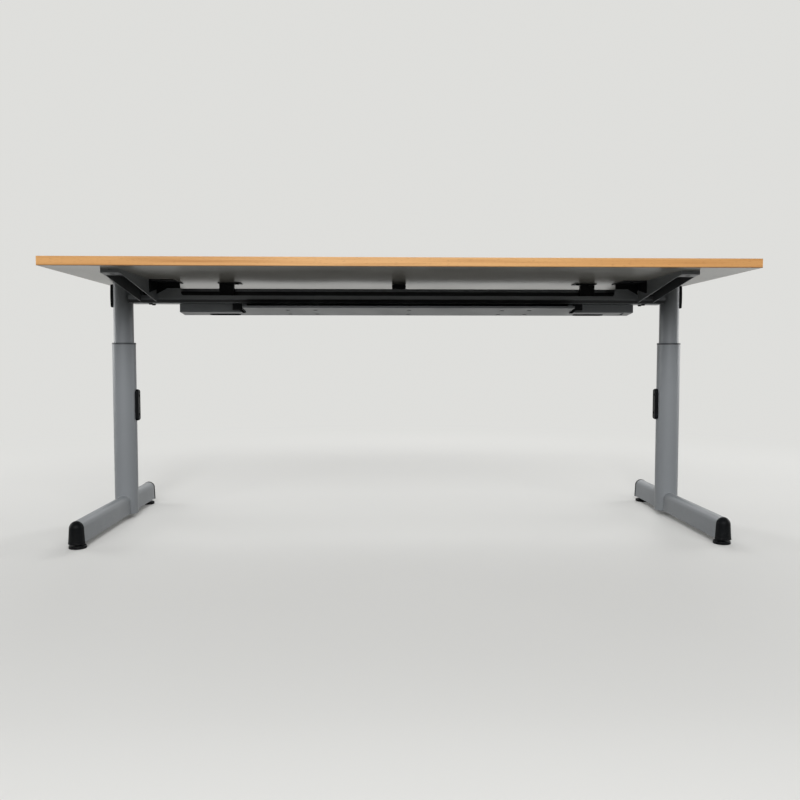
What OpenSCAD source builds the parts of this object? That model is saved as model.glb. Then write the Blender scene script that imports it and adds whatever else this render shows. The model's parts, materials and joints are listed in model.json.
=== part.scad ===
// Office desk: a beech-edged worktop on a steel frame with two height-adjustable
// columns, long low feet and a fold-down cable tray.
// Origin: on the floor, under the middle of the worktop. Front is -Y, up is +Z.

/* [Worktop] */
// Width of the worktop
top_w = 1800; // [1500:10:2000]
// Depth of the worktop
top_d = 800; // [760:10:900]
// Height of the worktop surface over the floor
top_height = 732; // [650:1:850]
// Thickness of the chipboard core
core_t = 22; // [18:0.5:28]
// Thickness of each decor laminate
laminate_t = 0.5; // [0.3:0.1:1]
// Thickness of the edge bands
band_t = 2; // [1:0.5:3]
// Radius on the long arrises of the edge bands
band_r = 0.8; // [0.3:0.1:0.9]

/* [Columns] */
// Distance from the side edge of the worktop to a column's axis
column_inset = 70; // [60:1:90]
// Distance of the column axes behind the middle of the worktop
column_back = 40; // [20:1:60]
// Outer diameter of the lower tube
outer_d = 68; // [66:1:72]
// Wall of the lower tube
outer_wall = 2; // [1.5:0.1:2.4]
// Outer diameter of the upper tube
inner_d = 58; // [54:0.5:59]
// Wall of the upper tube
inner_wall = 2; // [1.5:0.1:3]
// Height of the top end of the lower tube
outer_top = 526; // [500:1:530]
// Height of the bottom end of the lower tube
outer_low = 13; // [11:0.5:14]
// Length of the upper tube
inner_len = 548; // [520:1:550]
// Least room between sliding pieces
slide_gap = 0.3; // [0.2:0.05:0.4]

/* [Guide bushes and clamps] */
// Length of the sleeve of the upper bush
bush_len = 50; // [40:1:60]
// Height of the collar of the upper bush
collar_t = 3; // [2:0.5:4]
// How far the collar stands out over the lower tube
collar_proud = 0.6; // [0.2:0.1:1.5]
// Height of the lower bush
low_bush_len = 25; // [20:1:27]
// Height of the middle of the clamp
clamp_z = 341.5; // [338:0.5:360]
// Height of the clamp cover
clamp_cover_h = 95; // [90:1:110]
// Width of the clamp cover
clamp_cover_w = 20; // [18:1:26]
// How far the clamp cover stands out from the tube
clamp_cover_out = 9; // [8:0.5:12]
// Wall of the clamp cover round the pad
clamp_cover_wall = 2.5; // [2:0.5:3]
// Distance between the two clamp screws
clamp_pitch = 56; // [50:1:60]
// Diameter of the clamp screws
clamp_screw_d = 8; // [6:1:8]

/* [Feet] */
// Distance from the front edge of the worktop to the foot's steel
foot_front_inset = 38; // [30:1:60]
// Distance from the rear edge of the worktop to the foot's steel
foot_rear_inset = 132; // [100:1:160]
// Height of the foot profile
foot_h = 55; // [50:1:60]
// Width of the foot profile at its bottom
foot_w = 40; // [38:1:44]
// Width of the foot profile at its round top
foot_top_w = 36; // [34:1:37]
// Wall of the foot profile
foot_wall = 2.5; // [2:0.5:3]
// Height of the foot's underside over the floor
foot_low = 15; // [14:0.5:17]
// Extra radius of the front cap over the foot profile
cap_proud = 0.6; // [0.3:0.1:1.5]
// Thickness of the flat rear cap
rear_cap_t = 6; // [4:0.5:8]
// Extra size of the rear cap's rim over the foot profile
rear_cap_proud = 1; // [0.3:0.1:1.5]
// Length of the cap spigots inside the foot
spigot_len = 30; // [26:1:40]
// Distance from the front end of the foot's steel to the front glide's axis
glide_front_inset = 5; // [4:0.5:8]
// Distance from the rear end of the foot's steel to the rear glide's axis
glide_inset = 14; // [12:1:16]
// Diameter of the glide disc
glide_d = 44; // [38:1:48]
// Height of the glide disc
glide_h = 8; // [6:0.5:9]
// Diameter of the glide's threaded stem
stem_d = 8; // [6:1:9]
// Length of the threaded stem over the floor
stem_top = 42; // [38:1:46]

/* [Crossbeam] */
// Depth of the beam
beam_d = 70; // [66:1:74]
// Gap between the beam's rear wall and the worktop
beam_drop = 14; // [12:1:20]
// Height of the beam's rear wall
beam_h = 48; // [46:1:52]
// Sheet thickness of the beam
beam_t = 2; // [1.5:0.25:2.5]
// Height of the front wall where it is low
front_low_h = 22; // [20:1:30]
// Height of the front wall at its two raised stretches
front_high_h = 43; // [40:1:45]
// Size of the bevel along the lower front edge
beam_bevel = 12; // [8:1:14]
// Length of the low stretch in the middle, the cable window
window_len = 1298; // [1280:1:1330]
// Length of each raised stretch
raised_len = 40; // [30:1:60]
// Length of the slope at a raised stretch's outer end
raised_slope = 38; // [30:1:60]
// Radius in the lower corners of the window
window_r = 8; // [4:1:12]
// Width of the beam's rear lip
lip_w = 15; // [10:1:20]
// How far the beam's ends reach beside the tubes
beam_wrap = 4; // [2:0.5:8]

/* [Arms] */
// Width of the arms
arm_w = 48; // [40:1:50]
// Gap between an arm and the column's upper tube
arm_gap = 32; // [30:0.5:38]
// Reach of the arms in front of the beam
arm_front = 337; // [320:1:360]
// Reach of the arms behind the beam
arm_rear = 275; // [240:1:290]
// Height of the arms at their tips
arm_tip_h = 10; // [8:0.5:12]
// Height of the arms at the beam
arm_root_h = 58; // [54:1:60]
// Length of the level stretch at an arm's tip
arm_level = 35; // [32:1:60]
// Sheet thickness of the arms and brackets
arm_t = 2.5; // [2:0.25:3]
// Reach of the black corner brackets in front of the beam
bracket_reach = 75; // [60:1:90]
// Diameter of the posts between beam and arm
post_d = 18; // [16:1:20]
// Distance between the two posts of an arm
post_pitch = 32; // [28:1:34]
// Diameter of the arm bolts
arm_bolt_d = 6; // [6:1:8]
// Height of the arm bolts' heads
arm_bolt_head_h = 4; // [3:0.5:9]

/* [Column joint] */
// Thickness of the saddle between beam and tube
saddle_t = 21; // [18:1:23]
// Distance between the two saddle bolts
saddle_pitch = 20; // [18:1:22]
// Diameter of the saddle bolts
saddle_bolt_d = 8; // [6:1:8]
// Diameter of the access holes on the outer side
access_d = 16; // [15:0.5:17]
// Height of the cover over the access holes
tube_cover_h = 68; // [60:1:70]
// Width of the cover over the access holes
tube_cover_w = 28; // [24:1:34]
// How far the cover stands out from the tube
tube_cover_out = 5; // [3:0.5:6]
// How far the cover's middle bows out over its ends
tube_cover_bow = 1; // [0.5:0.5:2]

/* [Cable tray] */
// Length of the tray
tray_len = 1378; // [1350:1:1400]
// Length of its deeper middle stretch
tray_mid_len = 977; // [960:1:1000]
// How far the tray sits to the right of the middle
tray_x = 28; // [0:1:30]
// Distance of the tray's rear edge behind the beam
tray_behind = 25; // [25:1:30]
// Depth of the tray at its ends
tray_end_d = 62; // [60:1:66]
// Depth of the tray in the middle
tray_mid_d = 142; // [125:1:150]
// Height of the front lip
tray_lip_h = 6; // [4:0.5:10]
// Sheet thickness of the tray
tray_t = 1.5; // [1:0.25:2]
// Fall of the tray's floor towards the rear, in degrees
tray_fall = 5.6; // [4:0.1:6]
// Height of the hinge axis under the beam
hinge_drop = 23; // [22:0.5:24]
// Distance of the hinge axis from the tray's rear edge
hinge_inset = 8; // [7:0.5:9]
// Diameter of the hinge pins
hinge_pin_d = 5; // [4:0.5:6]
// Distance of a hanger from the tray's middle
hanger_x = 551; // [548:1:560]
// Width of a hanger
hanger_w = 44; // [38:1:48]
// Depth of the oblong holes for cable ties
tie_hole_d = 12; // [6:0.5:13]
// Length of these holes
tie_hole_len = 14; // [14:1:20]
// Distance of the outermost tie hole from the end of the middle stretch
tie_inset = 127; // [100:1:140]
// Distance between two tie holes of a pair
tie_pitch = 82; // [60:1:100]
// Length of the slot in front of the hinge
slot_len = 94; // [80:1:104]
// Width of that slot
slot_w = 14; // [8:0.5:15]

/* [Hidden] */
$fn = 64;

// Colours
beech = [0.80, 0.62, 0.40];
decor = [0.86, 0.86, 0.84];
chip = [0.72, 0.62, 0.48];
silver = [0.62, 0.64, 0.66];
black = [0.10, 0.11, 0.12];
steel = [0.72, 0.73, 0.74];
nylon = [0.20, 0.21, 0.22];

// Small clearances
weld_gap = 0.1;
fit_gap = 0.05;
cut = 1;

// Worktop
board_t = core_t + 2 * laminate_t;
under_z = top_height - board_t;
inner_w = top_w - 2 * band_t;
inner_depth = top_d - 2 * band_t;
// Window and tray are given for a top of standard width, and grow with a wider one
standard_w = 1800;
wider = top_w - standard_w;

// Columns
col_x = top_w / 2 - column_inset;
col_y = column_back;
outer_r = outer_d / 2;
outer_ir = outer_r - outer_wall;
inner_r = inner_d / 2;
inner_ir = inner_r - inner_wall;
plug_t = 3;
tube_top = under_z - plug_t;
tube_low = tube_top - inner_len;
bush_base_t = 3;

// Feet
foot_y0 = foot_front_inset - top_d / 2;
foot_y1 = top_d / 2 - foot_rear_inset;
foot_top_r = foot_top_w / 2;
glide_y0 = foot_y0 + glide_front_inset;
glide_y1 = foot_y1 - glide_inset;
nut_r = stem_d / 2 + 2.5;
nut_len = 20;
hub_h = 2;
hub_r = 10;

// Beam
beam_top = under_z - beam_drop;
beam_z = beam_top - beam_h;
beam_y0 = col_y - beam_d / 2;
beam_y1 = col_y + beam_d / 2;
beam_end = col_x - inner_r + beam_wrap;
low_z = beam_z + front_low_h;
high_z = beam_z + front_high_h;
raised_x0 = (window_len + wider) / 2;
raised_x1 = raised_x0 + raised_len;

// Arms
arm_x1 = col_x - inner_r - arm_gap;
arm_x0 = arm_x1 - arm_w;
arm_x = (arm_x0 + arm_x1) / 2;
web_z = under_z - arm_t;
floor_mid = (beam_y0 + beam_bevel + beam_y1) / 2;
post_ys = [floor_mid - post_pitch / 2, floor_mid + post_pitch / 2];
arm_tip_y0 = beam_y0 - arm_front;
arm_tip_y1 = beam_y1 + arm_rear;
arm_level_fall = 3;
arm_end_screw = 20;
nose_hole_r = 7;
nose_notch_w = 5;
nose_notch_h = 4;
arm_screw_ys = [arm_tip_y0 + arm_end_screw, beam_y0 - arm_front / 2,
    beam_y1 + arm_rear / 2, arm_tip_y1 - arm_end_screw];

// Column joint
joint_z = beam_z + 22;
saddle_zs = [joint_z - saddle_pitch / 2, joint_z + saddle_pitch / 2];
saddle_head_r = 6.5;
saddle_head_h = 7;
saddle_x0 = col_x - inner_r - saddle_t;
saddle_h = 40;

// Tray
tray_half_len = (tray_len + wider) / 2;
tray_mid_half = (tray_mid_len + wider) / 2;
strap_x = hanger_x + wider / 2;
tray_y1 = beam_y1 + tray_behind;
tray_y0 = tray_y1 - tray_mid_d;
tray_end_y0 = tray_y1 - tray_end_d;
hinge_y = tray_y1 - hinge_inset;
hinge_z = beam_z - hinge_drop;
barrel_r = hinge_pin_d / 2 + 3;
floor_gap = 0.6;
floor_at_hinge = hinge_z - barrel_r - floor_gap - tray_t;
ear_t = tray_t;
ear_gap = 2;
ear_x = hanger_w / 2 + ear_gap;
hanger_y0 = beam_y0 + 47;
hanger_d = 14;
strap_y1 = hanger_y0 + hanger_d;
catch_x = tray_mid_half;
slot_x = strap_x + 10;
tray_wall_top = beam_z - 1;
rear_wall_top = beam_z + 2;
tie_hole_x = tray_mid_half - tie_inset;
tie_hole_xs = [-tie_hole_x, tie_pitch - tie_hole_x, 0, tie_hole_x - tie_pitch, tie_hole_x];

// Bracket and hanger flanges, and the wood screws through them
flange_d = 40;
hanger_tab = 24;
bracket_inset = 3;
bracket_x0 = raised_x0 + bracket_inset;
bracket_w = arm_x0 - bracket_x0;
bracket_x = bracket_x0 + bracket_w / 2;
bracket_screw_ys = [beam_y0 - 45, beam_y0 + 30];
screw_r = 2;
screw_head_r = 5;
screw_head_h = 2.2;
screw_bite = 15;
hanger_screw_y = hanger_y0 - 14;
screw_points = concat(
    [for (s = [-1, 1]) for (y = arm_screw_ys) [s * arm_x, y]],
    [for (s = [-1, 1]) for (y = bracket_screw_ys) [s * bracket_x, y]],
    [for (s = [-1, 1]) [tray_x + s * (strap_x - hanger_w / 2 - hanger_tab / 2), hanger_screw_y]],
    [for (s = [-1, 1]) [tray_x + s * strap_x, hanger_screw_y]]);

// Height of the underside of the tray's sloping floor
function floor_z(y) = floor_at_hinge + (hinge_y - y) * tan(tray_fall);

// Height inside the floor's sheet at which the walls start
function wall_foot(y) = floor_z(y) + tray_t / 2;

// Draws a right-hand piece, or its mirror image for side -1
module on_side(side) {
    if (side > 0) children();
    else mirror([1, 0, 0]) children();
}

// The same about the middle of the tray
module at_tray(side) {
    translate([tray_x, 0, 0]) on_side(side) children();
}

// Extrudes an outline of x and z along Y
module along_y(y0, y1) {
    translate([0, y1, 0]) rotate([90, 0, 0]) linear_extrude(y1 - y0) children();
}

// Extrudes an outline of y and z along X
module along_x(x0, x1) {
    translate([x0, 0, 0]) rotate([90, 0, 90]) linear_extrude(x1 - x0) children();
}

// A box from its lowest and highest corners
module block(a, b) {
    translate(a) cube(b - a);
}

// A pin or bore along X
module rod_x(x0, x1, y, z, r) {
    translate([x0, y, z]) rotate([0, 90, 0]) cylinder(h = x1 - x0, r = r);
}

// A pin or bore along Z
module rod_z(x, y, z0, z1, r) {
    translate([x, y, z0]) cylinder(h = z1 - z0, r = r);
}

// A ring round the column axis
module ring(z0, z1, r0, r1) {
    translate([col_x, col_y, z0]) difference() {
        cylinder(h = z1 - z0, r = r1, $fn = 96);
        translate([0, 0, -cut]) cylinder(h = z1 - z0 + 2 * cut, r = r0, $fn = 96);
    }
}

// An oblong with round ends, w wide and h high, centred at [x, y]
module oblong(x, y, w, h) {
    translate([x, y]) {
        square([w, h - w], center = true);
        for (s = [-1, 1]) translate([0, s * (h - w) / 2]) circle(d = w);
    }
}

// A rectangle with round corners from a to b
module soft_rect(a, b, r) {
    w = b[0] - a[0];
    h = b[1] - a[1];
    translate(a) {
        translate([r, 0]) square([w - 2 * r, h]);
        translate([0, r]) square([w, h - 2 * r]);
        for (x = [r, w - r], y = [r, h - r]) translate([x, y]) circle(r = r);
    }
}

// Pilot holes for the wood screws
module screw_holes(z0, z1) {
    for (p = screw_points) rod_z(p[0], p[1], z0, z1, screw_r + fit_gap);
}

// Worktop pieces
module top_laminate() {
    color(decor)
    block([-inner_w / 2, -inner_depth / 2, top_height - laminate_t],
        [inner_w / 2, inner_depth / 2, top_height]);
}

module board_core() {
    z0 = under_z + laminate_t;
    color(chip) difference() {
        block([-inner_w / 2, -inner_depth / 2, z0],
            [inner_w / 2, inner_depth / 2, z0 + core_t]);
        screw_holes(z0 - cut, under_z + screw_bite + fit_gap);
    }
}

module backing_laminate() {
    color(decor) difference() {
        block([-inner_w / 2, -inner_depth / 2, under_z],
            [inner_w / 2, inner_depth / 2, under_z + laminate_t]);
        screw_holes(under_z - cut, under_z + laminate_t + cut);
    }
}

// An edge band's section: a strip with its two outer arrises rounded
module band_section() {
    translate([0, under_z]) {
        translate([0, band_r]) square([band_t, board_t - 2 * band_r]);
        translate([band_r, 0]) square([band_t - band_r, board_t]);
        for (z = [band_r, board_t - band_r]) translate([band_r, z]) circle(r = band_r);
    }
}

module long_band() {
    color(beech) translate([0, -top_d / 2, 0]) along_x(-top_w / 2, top_w / 2)
        band_section();
}

module short_band() {
    color(beech) translate([top_w / 2, 0, 0]) mirror([1, 0, 0])
        along_y(-inner_depth / 2, inner_depth / 2) band_section();
}

// The front wall of the beam, with its window, raised stretches and sloped ends
module beam_front_outline() {
    difference() {
        polygon([[0, beam_z + beam_bevel], [beam_end, beam_z + beam_bevel],
            [beam_end, low_z], [raised_x1 + raised_slope, low_z], [raised_x1, high_z],
            [raised_x0, high_z], [raised_x0, low_z + window_r],
            [raised_x0 - window_r, low_z], [0, low_z]]);
        translate([raised_x0 - window_r, low_z + window_r]) circle(r = window_r);
    }
}

module beam_half() {
    // Floor, bevel and rear wall with its lip
    along_x(0, beam_end) polygon([
        [beam_y0, beam_z + beam_bevel], [beam_y0 + beam_bevel, beam_z],
        [beam_y1, beam_z], [beam_y1, beam_top - beam_t], [beam_y1 + lip_w, beam_top - beam_t],
        [beam_y1 + lip_w, beam_top], [beam_y1 - beam_t, beam_top],
        [beam_y1 - beam_t, beam_z + beam_t], [beam_y0 + beam_bevel + beam_t * 0.4, beam_z + beam_t],
        [beam_y0 + beam_t, beam_z + beam_bevel + beam_t * 0.4],
        [beam_y0 + beam_t, beam_z + beam_bevel + cut], [beam_y0, beam_z + beam_bevel + cut]]);
    along_y(beam_y0, beam_y0 + beam_t) beam_front_outline();
}

module crossbeam() {
    color(silver) difference() {
        union() {
            beam_half();
            mirror([1, 0, 0]) beam_half();
        }
        for (s = [-1, 1]) on_side(s) {
            rod_z(col_x, col_y, beam_z - cut, beam_top + cut, inner_r + weld_gap);
            // The column's side of the rear lip
            block([arm_x0 - cut, beam_y1, beam_top - beam_t - cut],
                [beam_end + cut, beam_y1 + lip_w + cut, beam_top + cut]);
            for (y = post_ys)
                rod_z(arm_x, y, beam_z - cut, beam_z + beam_t + cut, arm_bolt_d / 2 + 0.5);
        }
        for (s = [-1, 1]) at_tray(s)
            block([strap_x - hanger_w / 2 - 1, hanger_y0 - 1, beam_z - cut],
                [strap_x + hanger_w / 2 + 1, strap_y1 + 1, beam_z + beam_t + cut]);
    }
}

// Block between the beam's rear lip and the worktop
module centre_spacer() {
    w = 42;
    color(black) {
        block([-w / 2, beam_y1 - beam_t, beam_top], [w / 2, beam_y1 + lip_w + 4, under_z]);
        block([-w / 2, beam_y1 + lip_w + fit_gap, beam_top - 8],
            [w / 2, beam_y1 + lip_w + 4, beam_top + cut]);
    }
}

// Bracket between worktop, arm and a raised stretch of the beam
module beam_bracket(side) {
    y0 = beam_y0 + beam_t;
    front = beam_y0 - bracket_reach;
    color(black) on_side(side) difference() {
        union() {
            along_x(bracket_x0, arm_x0) polygon([
                [y0, beam_z + beam_bevel + 6], [y0 + arm_t, beam_z + beam_bevel + 6],
                [y0 + arm_t, web_z], [y0 + flange_d, web_z], [y0 + flange_d, under_z],
                [y0, under_z]]);
            // Cheek on the arm's inner flange, and the plate under the worktop
            along_x(arm_x0 - arm_t, arm_x0) polygon([[front, under_z - 37],
                [beam_y0, high_z - 2], [beam_y0, high_z], [y0 + arm_t / 2, high_z],
                [y0 + arm_t / 2, under_z], [front, under_z]]);
            block([bracket_x0, front, web_z], [arm_x0, y0 + arm_t / 2, under_z]);
        }
        for (y = bracket_screw_ys)
            rod_z(bracket_x, y, web_z - cut, under_z + cut, screw_r + fit_gap);
    }
}

// Side outline of an arm: both tapered flanges, notched for the beam
module arm_flange() {
    tip_z = under_z - arm_tip_h;
    level_z = tip_z - arm_level_fall;
    polygon([[arm_tip_y0, under_z], [arm_tip_y0, tip_z], [arm_tip_y0 + arm_level, level_z],
        [beam_y0, under_z - arm_root_h], [beam_y0, web_z], [beam_y1, web_z],
        [beam_y1, under_z - arm_root_h], [arm_tip_y1 - arm_level, level_z],
        [arm_tip_y1, tip_z], [arm_tip_y1, under_z]]);
}

// The closed nose of an arm from its tip to its level stretch's end,
// with an access hole under the end screw
module arm_nose(tip, way) {
    tip_z = under_z - arm_tip_h;
    end = tip + way * arm_level;
    difference() {
        along_x(arm_x0, arm_x1) polygon([[tip, tip_z], [end, tip_z - arm_level_fall],
            [end, tip_z - arm_level_fall + arm_t], [tip, tip_z + arm_t]]);
        rod_z(arm_x, tip + way * arm_end_screw, tip_z - arm_level_fall - cut,
            tip_z + arm_t + cut, nose_hole_r);
    }
}

module arm(side) {
    tip_z = under_z - arm_tip_h;
    color(silver) on_side(side) difference() {
        union() {
            along_x(arm_x0, arm_x0 + arm_t) arm_flange();
            along_x(arm_x1 - arm_t, arm_x1) arm_flange();
            block([arm_x0, arm_tip_y0, web_z], [arm_x1, arm_tip_y1, under_z]);
            arm_nose(arm_tip_y0, 1);
            arm_nose(arm_tip_y1, -1);
            // End lips
            block([arm_x0, arm_tip_y0, tip_z], [arm_x1, arm_tip_y0 + arm_t, under_z]);
            block([arm_x0, arm_tip_y1 - arm_t, tip_z], [arm_x1, arm_tip_y1, under_z]);
        }
        // Small notch in the front lip
        block([arm_x - nose_notch_w / 2, arm_tip_y0 - cut, under_z - nose_notch_h],
            [arm_x + nose_notch_w / 2, arm_tip_y0 + arm_t + cut, under_z + cut]);
        for (y = arm_screw_ys)
            rod_z(arm_x, y, web_z - cut, under_z + cut, screw_r + fit_gap);
    }
}

// Threaded posts that carry the arms on the beam's floor
module arm_posts() {
    color(steel) for (s = [-1, 1], y = post_ys) difference() {
        rod_z(s * arm_x, y, beam_z + beam_t, web_z, post_d / 2);
        rod_z(s * arm_x, y, beam_z, web_z - 8, arm_bolt_d / 2 + fit_gap);
    }
}

// Hexagon bolts from below the beam into the posts
module arm_bolts() {
    washer_t = 1.5;
    color(steel) for (s = [-1, 1], y = post_ys) {
        translate([s * arm_x, y, beam_z - arm_bolt_head_h])
            cylinder(h = arm_bolt_head_h - washer_t, r = arm_bolt_d * 0.9, $fn = 6);
        rod_z(s * arm_x, y, beam_z - washer_t, beam_z, arm_bolt_d);
        rod_z(s * arm_x, y, beam_z - washer_t, web_z - 12, arm_bolt_d / 2);
    }
}

// Wood screws up into the board, through flanges that are all arm_t thick
module board_screws() {
    color(steel) for (p = screw_points) {
        rod_z(p[0], p[1], web_z - screw_head_h, web_z, screw_head_r);
        rod_z(p[0], p[1], web_z - screw_head_h, under_z + screw_bite, screw_r);
    }
}

// Upper telescopic tube, with bolt holes inside and access holes outside
module inner_tube(side) {
    color(silver) on_side(side) difference() {
        ring(tube_low, tube_top, inner_ir, inner_r);
        for (z = saddle_zs) {
            rod_x(col_x - inner_r - cut, col_x, col_y, z, saddle_bolt_d / 2 + 0.5);
            rod_x(col_x, col_x + inner_r + cut, col_y, z, access_d / 2);
        }
    }
}

// Plugs in the top ends of the upper tubes
module tube_plugs() {
    color(nylon) for (s = [-1, 1]) {
        rod_z(s * col_x, col_y, tube_top, under_z, inner_r);
        rod_z(s * col_x, col_y, tube_top - 12, under_z, inner_ir - fit_gap);
    }
}

// Bowed cover over the access holes, with a boss in each hole
module tube_cover(side) {
    half = tube_cover_h / 2;
    bow_r = (half * half + tube_cover_bow * tube_cover_bow) / (2 * tube_cover_bow);
    color(black) on_side(side) {
        difference() {
            intersection() {
                along_x(col_x, col_x + inner_r + tube_cover_out)
                    soft_rect([col_y - tube_cover_w / 2, joint_z - half],
                        [col_y + tube_cover_w / 2, joint_z + half], 4);
                translate([col_x + inner_r + tube_cover_out - bow_r, col_y + tube_cover_w, joint_z])
                    rotate([90, 0, 0]) cylinder(h = 2 * tube_cover_w, r = bow_r, $fn = 180);
            }
            rod_z(col_x, col_y, joint_z - tube_cover_h, joint_z + tube_cover_h,
                inner_r + fit_gap);
        }
        for (z = saddle_zs)
            rod_x(col_x + inner_ir - 2, col_x + inner_r + 1, col_y, z, access_d / 2 - weld_gap);
    }
}

// Cradle in the beam's end that the tube is bolted against
module saddle(side) {
    color(steel) on_side(side) difference() {
        block([saddle_x0, beam_y0 + beam_bevel + beam_t, beam_z + beam_t],
            [beam_end, beam_y1 - beam_t, beam_z + beam_t + saddle_h]);
        rod_z(col_x, col_y, beam_z, beam_top + cut, inner_r + weld_gap);
        for (z = saddle_zs)
            rod_x(saddle_x0 - cut, col_x, col_y, z, saddle_bolt_d / 2 + fit_gap);
    }
}

// Cap screws from inside the tubes into the saddles
module saddle_bolts() {
    head_x = col_x - sqrt(inner_ir * inner_ir - saddle_head_r * saddle_head_r) + fit_gap;
    color(steel) for (s = [-1, 1]) on_side(s) for (z = saddle_zs) difference() {
        union() {
            rod_x(head_x, head_x + saddle_head_h, col_y, z, saddle_head_r);
            rod_x(saddle_x0 + 2, head_x + saddle_head_h, col_y, z, saddle_bolt_d / 2);
        }
        translate([head_x + 3, col_y, z]) rotate([0, 90, 0])
            cylinder(h = saddle_head_h, r = 3.4, $fn = 6);
    }
}

// Bush on the lower end of the upper tube
module lower_bush(side) {
    color(nylon) on_side(side) {
        ring(tube_low, tube_low - bush_base_t + low_bush_len, inner_r + fit_gap,
            outer_ir - slide_gap);
        ring(tube_low - bush_base_t, tube_low, inner_ir, outer_ir - slide_gap);
    }
}

// The tray's sloping floor, deeper in the middle
module tray_floor() {
    half = tray_half_len;
    difference() {
        along_x(-half, half) polygon([[tray_y0, floor_z(tray_y0)], [tray_y1, floor_z(tray_y1)],
            [tray_y1, floor_z(tray_y1) + tray_t], [tray_y0, floor_z(tray_y0) + tray_t]]);
        for (s = [-1, 1]) on_side(s)
            block([tray_mid_half, tray_y0 - cut, floor_z(tray_y1) - cut],
                [half + cut, tray_end_y0, beam_z]);
    }
}

module tray_end_outline() {
    polygon([[tray_end_y0, wall_foot(tray_end_y0)], [tray_y1, wall_foot(tray_y1)],
        [tray_y1, rear_wall_top], [hinge_y, rear_wall_top],
        [beam_y1 + 2, tray_wall_top], [tray_end_y0, tray_wall_top]]);
}

// Ear beside a hanger, bent up from the tray's floor
module tray_ear(x) {
    along_x(x, x + ear_t) {
        polygon([[hinge_y - 6, wall_foot(hinge_y - 6)],
            [tray_y1 - tray_t / 2, wall_foot(tray_y1)],
            [hinge_y + 5, hinge_z], [hinge_y - 5, hinge_z]]);
        translate([hinge_y, hinge_z]) circle(r = 5);
    }
}

module tray_half() {
    half = tray_half_len;
    mid = tray_mid_half;
    lip_top = floor_z(tray_y0) + tray_lip_h;
    // Rear wall, end and front wall of the end stretch
    block([0, tray_y1 - tray_t, wall_foot(tray_y1)], [half, tray_y1, rear_wall_top]);
    along_x(half - tray_t, half) tray_end_outline();
    block([mid, tray_end_y0, wall_foot(tray_end_y0)], [half, tray_end_y0 + tray_t, tray_wall_top]);
    // Lips of the middle stretch
    block([0, tray_y0, wall_foot(tray_y0)], [mid, tray_y0 + tray_t, lip_top]);
    along_x(mid - tray_t, mid) polygon([[tray_y0, wall_foot(tray_y0)],
        [tray_end_y0 + tray_t, wall_foot(tray_end_y0 + tray_t)],
        [tray_end_y0 + tray_t, lip_top], [tray_y0, lip_top]]);
    tray_ear(strap_x + ear_x);
    tray_ear(strap_x - ear_x - ear_t);
}

// Cuts in one half of the tray
module tray_cuts() {
    low = floor_z(tray_y1) - 10;
    // Room for the hanger's barrel in the rear wall
    block([strap_x - hanger_w / 2 - 1, tray_y1 - tray_t - cut, hinge_z - barrel_r - floor_gap],
        [strap_x + hanger_w / 2 + 1, tray_y1 + cut, rear_wall_top + cut]);
    // Long slot in front of the hinge
    translate([0, 0, low]) linear_extrude(30)
        translate([slot_x, hinge_y - 7 - slot_w / 2]) rotate(90)
        oblong(0, 0, slot_w, slot_len);
    // Pin bores in the ears
    rod_x(strap_x - ear_x - 2 * ear_t, strap_x + ear_x + 2 * ear_t, hinge_y, hinge_z,
        hinge_pin_d / 2 + weld_gap);
}

module cable_tray() {
    color(silver) translate([tray_x, 0, 0]) difference() {
        union() {
            tray_floor();
            tray_half();
            mirror([1, 0, 0]) tray_half();
        }
        tray_cuts();
        mirror([1, 0, 0]) tray_cuts();
        // Holes for cable ties, and the T-shaped slot at the right end
        for (x = tie_hole_xs, y = [tray_end_y0 - 38, hinge_y - 17])
            translate([x, y, floor_z(tray_y1) - 10]) linear_extrude(30)
                rotate(90) oblong(0, 0, tie_hole_d, tie_hole_len);
        translate([tray_half_len - 27, tray_end_y0 + 28, floor_z(tray_y1) - 10])
            linear_extrude(30) {
                oblong(0, 0, 7, 36);
                translate([0, 15]) square([16, 7], center = true);
            }
    }
}

// Strap from the worktop through the beam's floor to the hinge barrel
module tray_hanger(side) {
    foot_top = hinge_z + barrel_r;
    color(black) at_tray(side) difference() {
        union() {
            along_x(strap_x - hanger_w / 2, strap_x + hanger_w / 2) {
                polygon([[hanger_y0, under_z], [strap_y1, under_z], [strap_y1, foot_top],
                    [hinge_y, foot_top], [hinge_y, hinge_z - barrel_r],
                    [hanger_y0, floor_z(hanger_y0) + tray_t + 2 * floor_gap]]);
                translate([hinge_y, hinge_z]) circle(r = barrel_r);
            }
            block([strap_x - hanger_w / 2 - hanger_tab, hanger_y0 - flange_d + hanger_d, web_z],
                [strap_x + hanger_w / 2, strap_y1, under_z]);
        }
        rod_x(strap_x - hanger_w, strap_x + hanger_w, hinge_y, hinge_z, hinge_pin_d / 2 + fit_gap);
        for (x = [strap_x, strap_x - hanger_w / 2 - hanger_tab / 2])
            rod_z(x, hanger_screw_y, web_z - cut, under_z + cut, screw_r + fit_gap);
    }
}

module tray_hinge_pins() {
    reach = ear_x + ear_t + 2;
    color(steel) for (s = [-1, 1]) at_tray(s)
        rod_x(strap_x - reach, strap_x + reach, hinge_y, hinge_z, hinge_pin_d / 2);
}

// Snap catch under the beam, its toe beside the tray's middle stretch
module tray_catch(side) {
    low = beam_z - 20;
    toe_z = floor_z(beam_y0 + 20) - 5;
    color(black) at_tray(side) along_y(beam_y0 + beam_bevel + 1, tray_end_y0 - 6)
        polygon([[catch_x + 39, beam_z], [catch_x + 39, low], [catch_x + 19, low],
            [catch_x + 9, toe_z], [catch_x + 2, toe_z], [catch_x + 2, toe_z + 4],
            [catch_x + 5, toe_z + 5], [catch_x + 14, low + 4], [catch_x + 14, beam_z]]);
}

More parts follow.
